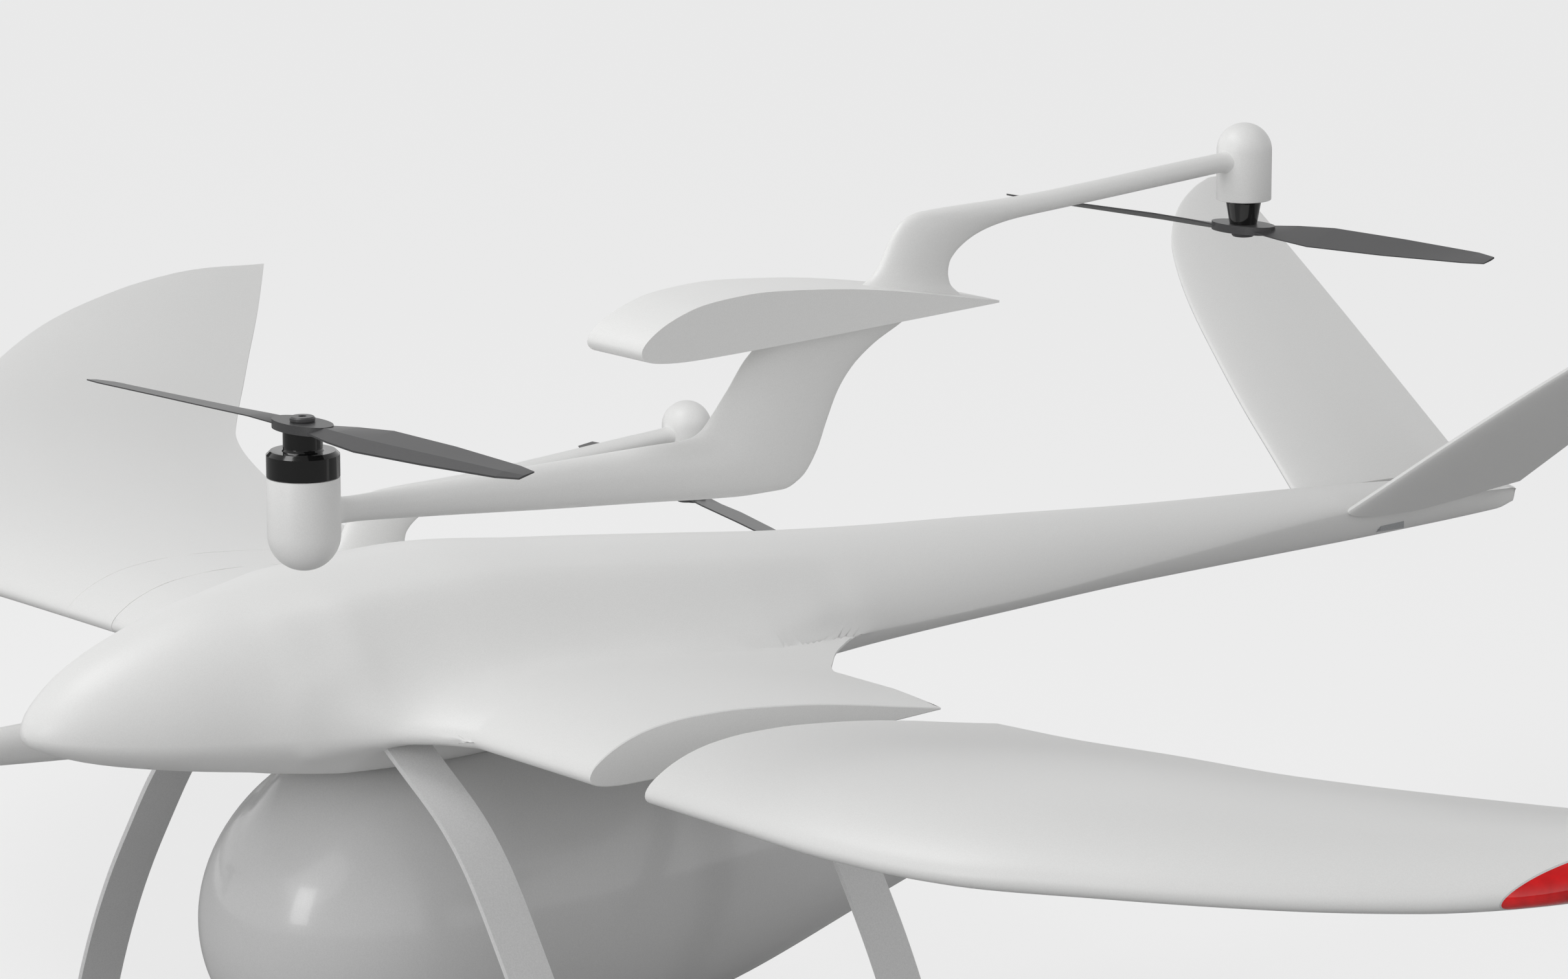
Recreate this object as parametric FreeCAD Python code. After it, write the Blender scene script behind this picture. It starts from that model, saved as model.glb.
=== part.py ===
import FreeCAD, Part
import math
import os

V = FreeCAD.Vector

# Fixed wing drone with four lifting rotors and a V tail, in millimetres.
# Working axes: +X port, +Y aft, +Z up, zero at the middle of the inner wing's leading edge.
# Every piece is moved to the row frame by ROW_SHIFT when it is written.

# ---- driving dimensions -------------------------------------------------------------------
CHORD = 474.0                 # inner wing chord
STUB_X = 442.0                # half span of the centre body, out to the first joint
MODULE_WIDTH = 90.0           # span of the lift module's wing segment
JOINT_GAP = 0.3               # gap at each end of the module
PANEL_X = STUB_X + MODULE_WIDTH
MODULE_X = STUB_X + MODULE_WIDTH / 2
LIFT = 455.0                  # how far the port module is shown raised out of the wing
SKIN = 2.4                    # wing skin
SHELL = 2.5                   # body and pod shell
TAIL_SHELL = 7.0              # body wall around the fin pivots
GROUND_Z = -540.0             # where the feet stand
ROW_SHIFT = V(0, -689.3, -GROUND_Z)

FRONT_Y, REAR_Y = -382.0, 865.0          # rotor axes, fore and aft
FRONT_R, REAR_R = 36.0, 30.0             # nacelle radii
PROP_R = 325.0
FRONT_PROP_ANGLE, REAR_PROP_ANGLE = 4.3, 9.7
STARBOARD_REAR_TURN = -6.0               # that propeller came to rest a little further round
FIN_ANGLE = 36.0                         # dihedral of each tail fin
FIN_Z = -18.0                            # where the two fin planes cross
FIN_ROOT = 53.0                          # root rib's distance from that crossing
FIN_PIVOT_Y = 1560.0

POD_Z, POD_R, POD_MID_Y, POD_NOSE = -245.0, 203.0, 106.0, 260.0
LEG_FRONT_Y, LEG_REAR_Y, LEG_WIDTH, LEG_THICK = -46.0, 418.0, 55.0, 6.0
SPAR_Y, SPAR_Z, SPAR_R, SPAR_WALL = 140.0, 15.0, 14.0, 1.5

# Wing section, as fractions of the chord: along the chord, then up.
UPPER = [(0.0, 0.0), (0.008, 0.019), (0.035, 0.040), (0.075, 0.0605), (0.13, 0.079), (0.19, 0.090),
         (0.28, 0.096), (0.37, 0.0945), (0.51, 0.083), (0.63, 0.0685), (0.755, 0.048), (0.88, 0.0245), (1.0, 0.003)]
LOWER = [(0.012, -0.0158), (0.046, -0.0245), (0.105, -0.029), (0.175, -0.0293), (0.29, -0.0268),
         (0.51, -0.020), (0.70, -0.0130), (0.88, -0.0065), (1.0, -0.002)]

# Outer panel stations: x, leading edge y, trailing edge y, height.
PANEL = [(532, 0, 474, 0), (628, 0, 490, 0), (760, -1, 528, 0), (864, 9, 553, 0), (956, 31, 583, 1),
         (1094, 108, 640, 3), (1219, 194, 705, 4), (1330, 285, 783, 8), (1420, 372, 853, 20),
         (1500, 480, 920, 50), (1560, 600, 975, 89), (1600, 745, 1010, 118), (1630, 930, 1036, 142)]

# Stub and fairing stations, the same way, from the joint face to the middle.
STUB = [(442, 0, 474, 0), (350, 0, 487, 0), (275, -5, 492, 0), (220, -20, 514, 0), (175, -58, 556, 0),
        (135, -120, 615, 2), (0, -230, 760, 4)]

# Body stations: y, half width, chine height, top, bottom.
BODY = [(-398, 4, 21, 25, 17), (-392, 20, 20, 38, 10), (-372, 42, 18, 58, 0), (-330, 68, 14, 86, -15),
        (-267, 93, 9, 112, -30), (-182, 114, 4, 136, -46), (-43, 132, 0, 150, -65), (100, 138, -2, 154, -72),
        (285, 138, -2, 136, -66), (474, 134, 0, 115, -54), (619, 122, 0, 99, -46), (760, 98, -5, 87, -40),
        (905, 80, -7, 77, -37), (1175, 54, 0, 56, -34), (1474, 46, 12, 37, -34), (1650, 38, 8, 22, -32),
        (1770, 26, 0, 6, -30), (1800, 14, -12, 0, -26)]


# ---- small helpers ------------------------------------------------------------------------
def curve(points):
    """Smooth edge through points, with the same knots for every section of one family."""
    spline = Part.BSplineCurve()
    last = len(points) - 1
    spline.interpolate(Points=points, Parameters=[i / last for i in range(last + 1)])
    return spline.toShape()


def loft(wires, ruled=False):
    return Part.makeLoft(wires, True, ruled)


def between(table, x):
    """Straight-line reading of a list of (position, value)."""
    for (x0, v0), (x1, v1) in zip(table, table[1:]):
        if x <= x1:
            return v0 + (v1 - v0) * (x - x0) / (x1 - x0)
    return table[-1][1]


def tube(start, direction, length, outer, wall):
    full = Part.makeCylinder(outer, length, start, direction)
    return full.cut(Part.makeCylinder(outer - wall, length, start, direction))


def box(x0, x1, y0, y1, z0, z1):
    return Part.makeBox(x1 - x0, y1 - y0, z1 - z0, V(x0, y0, z0))


def turned(profile, start, axis):
    """Solid of revolution from (radius, height) corners, standing at start along axis."""
    points = [V(r, 0, h) for r, h in profile]
    face = Part.Face(Part.makePolygon(points + [points[0]]))
    solid = face.revolve(V(0, 0, 0), V(0, 0, 1), 360)
    solid.Placement = FreeCAD.Placement(start, FreeCAD.Rotation(V(0, 0, 1), axis))
    return solid


def mirrored(shape):
    return shape.mirror(V(0, 0, 0), V(1, 0, 0))


def largest(shape):
    return max(shape.Solids, key=lambda solid: solid.Volume)


def group(shapes):
    return Part.makeCompound(shapes)


def write(name, shape):
    placed = shape.copy()
    placed.translate(ROW_SHIFT)
    placed.exportStep("parts/" + name + ".step")
    print(name, "valid" if placed.isValid() else "NOT VALID", len(placed.Solids), "solid(s)",
          round(placed.Volume / 1000), "cm3")


# ---- wing sections ------------------------------------------------------------------------
def foil_wire(x, front, back, height):
    chord = back - front
    path = list(reversed(UPPER)) + LOWER
    points = [V(x, front + along * chord, height + up * chord) for along, up in path]
    return Part.Wire([curve(points), Part.LineSegment(points[-1], points[0]).toShape()])


def hollow_wire(x, front, back, height):
    """The space inside a section, a skin's thickness in, from behind the nose to ahead of the tail."""
    chord = back - front
    skin = SKIN / chord
    stations = [0.07, 0.13, 0.22, 0.35, 0.5, 0.65, 0.77]
    over = [V(x, front + s * chord, height + (between(UPPER, s) - skin) * chord) for s in stations]
    under = [V(x, front + s * chord, height + (between([UPPER[0]] + LOWER, s) + skin) * chord)
             for s in reversed(stations)]
    return Part.Wire([curve(over), Part.LineSegment(over[-1], under[0]).toShape(),
                      curve(under), Part.LineSegment(under[-1], over[0]).toShape()])


def station_at(table, x):
    columns = [[(row[0], row[i]) for row in table] for i in (1, 2, 3)]
    return (x, *[between(column, x) for column in columns])


def wing_hollow(table, start, end):
    inside = [row for row in table if start < row[0] < end]
    rows = [station_at(table, start)] + inside + [station_at(table, end)]
    return loft([hollow_wire(*row) for row in rows], True)


# ---- centre body --------------------------------------------------------------------------
def body_wire(y, half, chine, top, bottom, inset=0.0):
    """Closed section: a round back over the chine and a keel that sharpens along the tail boom."""
    keel = 1.0 - 0.35 * min(max((y - 450) / 300, 0), 1)
    steps = 12
    over, under = [], []
    for i in range(steps + 1):
        turn = math.pi * i / steps
        side = math.cos(turn)
        over.append(V((half - inset) * side, y, chine + (top - inset - chine) * math.sin(turn)))
        drop = abs(math.sin(turn)) ** (1 / keel)
        under.append(V(-(half - inset) * side, y, chine + (bottom + inset - chine) * drop))
    return Part.Wire([curve(over), curve(under)])


def centre_solid():
    body = loft([body_wire(*row) for row in BODY])
    rows = STUB + [(-x, a, b, h) for x, a, b, h in reversed(STUB[:-1])]
    wing = loft([foil_wire(*row) for row in rows])
    return body.fuse(wing)


def centre_hollow():
    """Room inside the body, with a thicker wall around the fins, and inside both stubs."""
    rows = [row for row in BODY if -350 < row[0] < 1700]
    body = loft([body_wire(*row, inset=SHELL if row[0] < 1400 else TAIL_SHELL) for row in rows])
    port = wing_hollow(list(reversed(STUB)), 100.0, STUB_X - 3)
    return body.fuse([port, mirrored(port)])


# ---- payload pod --------------------------------------------------------------------------
def pod_body(inset):
    """Round teardrop, lofted from an elliptical nose to a long straight tail."""
    rows = []
    for degrees in (2, 6, 12, 22, 34, 48, 64, 78, 90):
        turn = math.radians(degrees)
        rows.append((POD_MID_Y - (POD_NOSE - inset) * math.cos(turn), (POD_R - inset) * math.sin(turn)))
    tail = [(300, 192), (492, 158), (702, 106), (880, 62), (1010, 31), (1070, 15), (1088, 6)]
    rows += [(y - 2 * inset, r - inset) for y, r in tail]
    return loft([oval(0, y, POD_Z, r, r, True) for y, r in rows])


def pod_shell(centre):
    """Teardrop with a short neck that follows the belly, closed by a deck under it."""
    clear = centre.translated(V(0, 0, -JOINT_GAP))
    neck_half, neck_front, neck_back, deck_z = 92.0, -62.0, 540.0, -88.0
    outline = Part.Ellipse(V(0, 0, 0), (neck_back - neck_front) / 2, neck_half).toShape()
    neck = Part.Face(Part.Wire(outline)).extrude(V(0, 0, 150))
    neck.Placement = FreeCAD.Placement(V(0, (neck_front + neck_back) / 2, -150), FreeCAD.Rotation(V(0, 0, 1), 90))
    room = pod_body(SHELL).common(box(-300, 300, -300, 1200, -600, deck_z))
    shell = pod_body(0).fuse(neck).cut([centre, clear, room, cable_way()] + pod_screws())
    return largest(shell)


def cable_way():
    """Round hole for the payload's wiring, through the deck, the belly and the plate over it."""
    return Part.makeCylinder(12, 70, V(0, 120, -115))


def pod_screws():
    """Four screws up through the pod's deck into the plate in the belly."""
    head_z = -94.0
    return [turned([(0, 0), (6, 0), (6, 6), (3, 6), (3, 40), (0, 40)], V(x, y, head_z), V(0, 0, 1))
            for x in (-35, 35) for y in (30, 210)]


# ---- legs ---------------------------------------------------------------------------------
def leg(y, thick=LEG_THICK, width=LEG_WIDTH):
    """Arched flat spring leg, port side, from inside the belly down to the ground."""
    arch = [(96, 7), (122, -4), (178, -38), (241, -79), (291, -127), (338, -192), (383, -261), (424, -337),
            (456, -412), (480, -490), (487, GROUND_Z + 6)]
    spline = Part.BSplineCurve()
    spline.interpolate([V(x, 0, z) for x, z in arch])
    sides = ([], [])
    steps = 24
    for i in range(steps + 1):
        at = spline.FirstParameter + (spline.LastParameter - spline.FirstParameter) * i / steps
        point, along = spline.value(at), spline.tangent(at)[0]
        across = V(along.z, 0, -along.x) * (thick / 2)
        sides[0].append(point + across)
        sides[1].insert(0, point - across)
    ends = [Part.LineSegment(sides[k][-1], sides[1 - k][0]).toShape() for k in (0, 1)]
    face = Part.Face(Part.Wire([curve(sides[0]), ends[0], curve(sides[1]), ends[1]]))
    strip = face.extrude(V(0, width, 0))
    strip.translate(V(0, y, 0))
    return strip


def foot(y):
    pad = box(470, 504, y - 3, y + LEG_WIDTH + 3, GROUND_Z, GROUND_Z + 22)
    pad = pad.makeFillet(5, [e for e in pad.Edges if abs(e.BoundBox.ZLength) > 20])
    return pad.cut(leg(y))


# ---- lift modules -------------------------------------------------------------------------
def oval(x, y, z, half_x, half_long, upright):
    """Closed oval: upright ones stand across a boom, flat ones lie across a pylon."""
    long_way = V(0, 0, half_long) if upright else V(0, half_long, 0)
    steps = 8
    halves = []
    for side in (1, -1):
        turns = [math.pi * i / steps for i in range(steps + 1)]
        halves.append(curve([V(x, y, z) + long_way * (side * math.cos(t)) + V(side * half_x * math.sin(t), 0, 0)
                             for t in turns]))
    return Part.Wire(halves)


# Boom sections from the nacelle inwards: y, bottom, top, half width.
FRONT_ARM = [(-348.4, -131, -107, 11.5), (-220, -141, -107, 15), (-84, -153, -106, 19), (40, -163, -105, 22),
             (140, -170, -105, 24), (195, -173, -108, 22), (228, -170, -116, 17)]
REAR_ARM = [(837.4, 95, 116.5, 10.7), (765, 91, 113, 11.4), (651, 82.5, 105, 12), (545, 74, 99, 13),
            (470, 66, 97, 15), (410, 64, 94, 15), (386, 70, 88, 11)]
# Pylon sections from the boom to the wing: height, front, back, half width.
FRONT_PYLON = [(-140, 100, 252, 14), (-115, 104, 270, 20), (-92, 122, 281, 20), (-64, 146, 300, 19),
               (-40, 163, 326, 19), (-8, 184, 378, 20)]
REAR_PYLON = [(84, 380, 478, 12), (62, 358, 452, 15), (45, 350, 441, 15), (32, 340, 441, 16), (8, 322, 452, 20)]


def segment(x0, x1):
    return loft([foil_wire(x, 0, CHORD, 0) for x in (x0, x1)], True)


def segment_room(x0, x1):
    return loft([hollow_wire(x, 0, CHORD, 0) for x in (x0, x1)], True)


def front_nacelle():
    """Dome-ended housing, open at the top for the motor."""
    wall, top, bottom = 3.0, -80.0, -173.0
    outer, inner = [(0, bottom)], [(0, bottom + wall)]
    for i in range(1, 9):
        turn = math.pi / 2 * i / 8
        outer.append((FRONT_R * math.sin(turn), bottom + FRONT_R * (1 - math.cos(turn))))
        inner.append(((FRONT_R - wall) * math.sin(turn), bottom + wall + (FRONT_R - wall) * (1 - math.cos(turn))))
    profile = outer + [(FRONT_R, top), (FRONT_R - wall, top)] + list(reversed(inner))
    return turned(profile, V(MODULE_X, FRONT_Y, 0), V(0, 0, 1))


def rear_nacelle():
    """The same, upside down and slimmer, open at the bottom."""
    wall, top, bottom = 3.0, 146.0, 62.0
    outer, inner = [(0, top)], [(0, top - wall)]
    for i in range(1, 9):
        turn = math.pi / 2 * i / 8
        outer.append((REAR_R * math.sin(turn), top - REAR_R * (1 - math.cos(turn))))
        inner.append(((REAR_R - wall) * math.sin(turn), top - wall - (REAR_R - wall) * (1 - math.cos(turn))))
    profile = outer + [(REAR_R, bottom), (REAR_R - wall, bottom)] + list(reversed(inner))
    return turned(profile, V(MODULE_X, REAR_Y, 0), V(0, 0, 1))


def boom(arm_rows, pylon_rows, housing, wing):
    arm = loft([oval(MODULE_X, y, (low + high) / 2, half, (high - low) / 2, True) for y, low, high, half in arm_rows])
    pylon = loft([oval(MODULE_X, (a + b) / 2, z, half, (b - a) / 2, False) for z, a, b, half in pylon_rows])
    return housing.fuse([arm, pylon.cut(wing)])


def motor(front):
    """Stator, bell with shaft, propeller and screw at one rotor, working downwards when aft."""
    radius, y = (FRONT_R, FRONT_Y) if front else (REAR_R, REAR_Y)
    face = -80.0 if front else 62.0
    up = V(0, 0, 1) if front else V(0, 0, -1)
    at = V(MODULE_X, y, face)
    inside = radius - 3.2
    bore = 4.05
    stator = turned([(bore, -34), (inside, -34), (inside, -30), (15, -30), (15, -27), (24, -27), (24, -8),
                     (bore, -8)], at, up)
    if front:
        bell = [(0, -34), (4, -34), (4, -1.5), (26, -1.5), (26, -28), (29, -28), (29, 0.6), (radius, 0.6),
                (radius, 22), (radius - 4, 26), (21, 26), (19.5, 28), (19.5, 45), (5, 45), (5, 48), (0, 48)]
    else:
        bell = [(0, -34), (4, -34), (4, -6), (24.5, -6), (24.5, -22), (26.3, -22), (26.3, 0.6), (20.5, 0.6),
                (19, 3), (15, 26), (5, 26), (5, 30), (0, 30)]
    return stator, turned(bell, at, up)


def propeller(front):
    """Two flat-backed blades on an oval boss, bored for the motor's spigot."""
    base = -80.0 + 45.2 if front else 62.0 - 26.2
    y = FRONT_Y if front else REAR_Y
    angle = FRONT_PROP_ANGLE if front else REAR_PROP_ANGLE
    sign = 1 if front else -1
    boss = Part.Ellipse(V(0, 0, 0), 40, 21)
    boss = Part.Face(Part.Wire(boss.toShape())).extrude(V(0, 0, 9))
    # distance out, front edge, back edge, thickness, how much the back edge stands over the front one
    stations = [(18, -15, 15, 6, 2), (60, -20, 20, 6, 9), (105, -24, 27, 5.5, 13), (200, -20, 24, 4.5, 11),
                (300, -15, 17, 3, 6), (PROP_R, -7, 12, 2, 4)]
    blades = []
    for turn in (0, 180):
        wires = []
        for out, lead, trail, thick, rise in stations:
            ridge = lead + (trail - lead) * 0.35
            low, high = 3.5 - rise / 2, 3.5 + rise / 2
            corners = [V(out, lead, low), V(out, trail, high), V(out, trail, high + 1.2),
                       V(out, ridge, low + rise * 0.35 + thick), V(out, lead, low + 1.8)]
            wires.append(Part.makePolygon(corners + [corners[0]]))
        blade = loft(wires, True)
        blade.rotate(V(0, 0, 0), V(0, 0, 1), turn)
        blades.append(blade)
    prop = boss.fuse(blades).cut(Part.makeCylinder(5.05, 20, V(0, 0, -1)))
    if sign < 0:
        prop.rotate(V(0, 0, 0), V(1, 0, 0), 180)
    prop.rotate(V(0, 0, 0), V(0, 0, 1), angle)
    prop.translate(V(MODULE_X, y, base))
    top = base + sign * 9.2
    screw = turned([(0, 0), (12, 0), (12.5, 1.2), (12.5, 3.5), (11, 5), (4, 5), (4, 2), (0, 2)],
                   V(MODULE_X, y, top), V(0, 0, sign))
    return prop, screw


def speed_controller(front):
    """Round board under the motor."""
    radius, low, high = (27.0, -138.0, -114.0) if front else (22.0, 96.0, 112.0)
    return Part.makeCylinder(radius, high - low, V(MODULE_X, FRONT_Y if front else REAR_Y, low))


# ---- navigation lights ----------------------------------------------------------------------
LENS_MIDDLE, LENS_SPAN, LENS_HALF = V(1468, 446, 40), V(80, 114, 35), (124.0, 40.0, 26.0)


def lens_zone(grow):
    """Stretched ball on the leading edge, long way along it, that divides lens, seal and wing."""
    along = V(LENS_SPAN).normalize()
    across = V(0, 0, 1).cross(along).normalize()
    up = along.cross(across)
    a, b, c = [half + grow for half in LENS_HALF]
    m = FreeCAD.Matrix(along.x * a, across.x * b, up.x * c, LENS_MIDDLE.x,
                       along.y * a, across.y * b, up.y * c, LENS_MIDDLE.y,
                       along.z * a, across.z * b, up.z * c, LENS_MIDDLE.z, 0, 0, 0, 1)
    return Part.makeSphere(1).transformGeometry(m)


def outer_panel():
    """Skin, spar, lens, seal and light board of the port outer wing."""
    panel = loft([foil_wire(*row) for row in PANEL])
    lens_room, seal_room = lens_zone(0), lens_zone(2.0)
    back = V(-LENS_SPAN.y, LENS_SPAN.x, 0).normalize()
    at = LENS_MIDDLE + back * 20
    board = box(-22, 22, -2, 2, -7, 7)
    board.Placement = FreeCAD.Placement(at, FreeCAD.Rotation(V(LENS_SPAN.x, LENS_SPAN.y, 0), V(0, 0, 0),
                                                             V(0, 0, 1), "XZY"))
    lens = panel.common(lens_room).cut(board)
    seal = panel.common(seal_room).cut(lens_room)
    skin = panel.cut([wing_hollow(PANEL, PANEL_X + 3, 1330.0), seal_room])
    spar = tube(V(PANEL_X + 3, SPAR_Y, SPAR_Z), V(1, 0, 0), 440, SPAR_R, SPAR_WALL)
    return {"outer_skin": largest(skin), "outer_spar": spar, "nav_lens": largest(lens),
            "nav_lens_seal": largest(seal), "nav_light_board": board}


# ---- tail fins ----------------------------------------------------------------------------
def fin_axes():
    turn = math.radians(FIN_ANGLE)
    return V(math.cos(turn), 0, math.sin(turn)), V(-math.sin(turn), 0, math.cos(turn))


def fin_point(span, y, off=0.0):
    out, normal = fin_axes()
    return V(0, y, FIN_Z) + out * span + normal * off


# Fin stations: span, leading edge y, trailing edge y.
FIN = [(FIN_ROOT, 1468, 1766), (136, 1482, 1766), (204, 1493, 1766), (302, 1514, 1766), (394, 1538, 1765),
       (480, 1574, 1763), (517, 1600, 1762), (554, 1639, 1760), (585, 1690, 1757), (597, 1722, 1753)]
FIN_HALF = [(0.0, 0.0), (0.02, 0.018), (0.08, 0.033), (0.2, 0.045), (0.35, 0.048), (0.6, 0.035), (0.85, 0.014),
            (1.0, 0.003)]


def fin():
    """Port fin: a thin symmetrical section whose leading edge curves back to the tip, hollow inboard."""
    wires = []
    for span, lead, trail in FIN:
        chord = trail - lead
        path = list(reversed(FIN_HALF)) + [(a, -t) for a, t in FIN_HALF[1:]]
        points = [fin_point(span, lead + a * chord, t * chord * 0.95) for a, t in path]
        wires.append(Part.Wire([curve(points), Part.LineSegment(points[-1], points[0]).toShape()]))
    rooms = []
    for span, front, back in ((FIN_ROOT + 4, 1600, 1700), (430, 1640, 1715)):
        corners = [fin_point(span, y, off) for y, off in ((front, -8), (back, -3), (back, 3), (front, 8))]
        rooms.append(Part.makePolygon(corners + [corners[0]]))
    return loft(wires).cut([fin_shaft(), loft(rooms, True)])


def fin_shaft():
    out, _ = fin_axes()
    return Part.makeCylinder(5, 190, fin_point(26, FIN_PIVOT_Y), out)


def fin_clearance():
    """Everything outboard of the root rib, so that the boom ends in a flat there."""
    out, normal = fin_axes()
    slab = box(0, 60, 1440, 1840, -120, 120)
    slab.Placement = FreeCAD.Placement(fin_point(FIN_ROOT - 1.0, 0), FreeCAD.Rotation(out, V(0, 1, 0), normal, "XYZ"))
    return slab


# ---- inside the centre body ---------------------------------------------------------------
HATCH_CORNERS = [(x, y) for x in (-46, 46) for y in (-276, -140)]


def hatch_posts(hollow):
    posts = [Part.makeCylinder(5, 70, V(x, y, -78)) for x, y in HATCH_CORNERS]
    return [post.common(hollow).cut(screw) for post, screw in zip(posts, hatch_screws())]


def hatch_screws():
    return [Part.makeCylinder(1.6, 51, V(x, y, -62)) for x, y in HATCH_CORNERS]


def leg_brackets(hollow):
    """Blocks that clamp each leg's root inside the belly."""
    port = [box(90, 126, y + 4, y + 51, -45, 16).common(hollow) for y in (LEG_FRONT_Y, LEG_REAR_Y)]
    return [largest(b.cut([leg(y)] + leg_screws(y))) for b, y in zip(port, (LEG_FRONT_Y, LEG_REAR_Y))]


def leg_screws(y):
    """Two cap screws from above, through the bracket and the leg."""
    return [turned([(0, -32), (2.5, -32), (2.5, 0), (4.25, 0), (4.25, 5), (0, 5)], V(108, y + side, 16), V(0, 0, 1))
            for side in (15, 40)]


def inside_pieces(hollow):
    """Formers, tray, battery and boards."""
    spar = Part.makeCylinder(SPAR_R, 2 * (STUB_X - 3), V(3 - STUB_X, SPAR_Y, SPAR_Z), V(1, 0, 0))
    tray = box(-39, 39, -236, 112, -18, -15)
    front = box(-90, 90, -240, -236, -60, 120).common(hollow)
    rooms = [spar, box(-70, 70, 100, 180, 40, 160), box(-50.2, 50.2, 100, 180, -90, -57.8)]
    main = box(-104, 104, 112, 168, -80, 150).common(hollow).cut(rooms)
    block = box(-28, 28, 1540, 1580, -26, 14).common(hollow)
    bores = [Part.makeCylinder(5.05, 60, fin_point(20, FIN_PIVOT_Y), fin_axes()[0])]
    plate = box(-50, 50, 0, 240, -76, -58).common(hollow).cut(pod_screws() + [cable_way()])
    return {"front_former": largest(front), "spar_carrier": largest(main),
            "centre_spar": spar.cut(Part.makeCylinder(SPAR_R - SPAR_WALL, 900, V(-450, SPAR_Y, SPAR_Z), V(1, 0, 0))),
            "equipment_tray": tray, "pod_mount_plate": largest(plate),
            "battery_pack": box(-39, 39, -222, -12, -15, 54),
            "flight_controller": box(-30, 30, 0, 50, -15, 8), "telemetry_radio": box(-24, 24, 58, 104, -15, 2),
            "tail_bearing_block": block.cut(bores + [mirrored(b) for b in bores]),
            "tail_servos": group([box(x, x + 17, 1484, 1524, -16, 10) for x in (-20, 3)])}


# ---- assembly -----------------------------------------------------------------------------
def build_airframe(centre, hollow):
    shell = centre.cut(hollow)
    screws = hatch_screws()
    hatch = largest(shell.common(box(-55, 55, -300, -130, -90, -12)).cut(screws))
    hatch_gap = box(-55.4, 55.4, -300.4, -129.6, -90, -11.6)
    slots = [leg(y - 0.2, LEG_THICK + 0.4, LEG_WIDTH + 0.4) for y in (LEG_FRONT_Y, LEG_REAR_Y)]
    port_cuts = slots + [fin_clearance(), Part.makeCylinder(6, 60, fin_point(20, FIN_PIVOT_Y), fin_axes()[0])]
    shell = shell.cut([hatch_gap] + port_cuts + [mirrored(c) for c in port_cuts] + pod_screws() + [cable_way()])
    return {"centre_body_shell": largest(shell), "belly_hatch": hatch,
            "hatch_screws": group([s.common(centre) for s in screws]),
            "hatch_posts": group(hatch_posts(hollow))}


def legs_and_feet(hollow):
    pieces, screws, feet = {}, [], []
    for y, end in ((LEG_FRONT_Y, "front"), (LEG_REAR_Y, "rear")):
        strip = leg(y).cut(leg_screws(y))
        for side, turn in (("port", lambda s: s), ("starboard", mirrored)):
            pieces[side + "_" + end + "_leg"] = turn(strip)
            feet.append(turn(foot(y)))
            screws += [turn(screw) for screw in leg_screws(y)]
    brackets = leg_brackets(hollow)
    pieces["leg_brackets"] = group(brackets + [mirrored(b) for b in brackets])
    pieces["leg_screws"] = group(screws)
    pieces["foot_pads"] = group(feet)
    return pieces


def lift_module():
    """One seated port module: wing segment, booms, motors and propellers."""
    start, end = STUB_X + JOINT_GAP, PANEL_X - JOINT_GAP
    solid = segment(start, end)
    pieces = {"wing_segment": solid.cut(segment_room(start + 3, end - 3)),
              "segment_spar": tube(V(start + 3, SPAR_Y, SPAR_Z), V(1, 0, 0), end - start - 6, SPAR_R, SPAR_WALL),
              "front_boom": boom(FRONT_ARM, FRONT_PYLON, front_nacelle(), solid),
              "rear_boom": boom(REAR_ARM, REAR_PYLON, rear_nacelle(), solid),
              "speed_controllers": group([speed_controller(True), speed_controller(False)])}
    for is_front, place in ((True, "front"), (False, "rear")):
        stator, bell = motor(is_front)
        blades, screw = propeller(is_front)
        pieces[place + "_stator"] = stator
        pieces[place + "_motor_bell"] = bell
        pieces[place + "_propeller"] = group([blades, screw])
    return pieces


def main():
    os.makedirs("parts", exist_ok=True)
    centre, hollow = centre_solid(), centre_hollow()
    pieces = build_airframe(centre, hollow)
    pieces.update(inside_pieces(hollow))
    pieces["payload_pod_shell"] = pod_shell(centre)
    pieces["pod_screws"] = group(pod_screws())
    pieces.update(legs_and_feet(hollow))
    for name, shape in outer_panel().items():
        pieces["port_" + name] = shape
        pieces["starboard_" + name] = mirrored(shape)
    for name, shape in lift_module().items():
        pieces["port_" + name] = shape.translated(V(0, 0, LIFT))
        pieces["starboard_" + name] = mirrored(shape)
    pieces["starboard_rear_propeller"].rotate(V(-MODULE_X, REAR_Y, 0), V(0, 0, 1), STARBOARD_REAR_TURN)
    shaft = fin_shaft()
    for name, shape in (("fin", fin()), ("fin_shaft", shaft)):
        pieces["port_" + name] = shape
        pieces["starboard_" + name] = mirrored(shape)
    for name, shape in pieces.items():
        write(name, shape)
    print(len(pieces), "nodes")


main()
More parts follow.
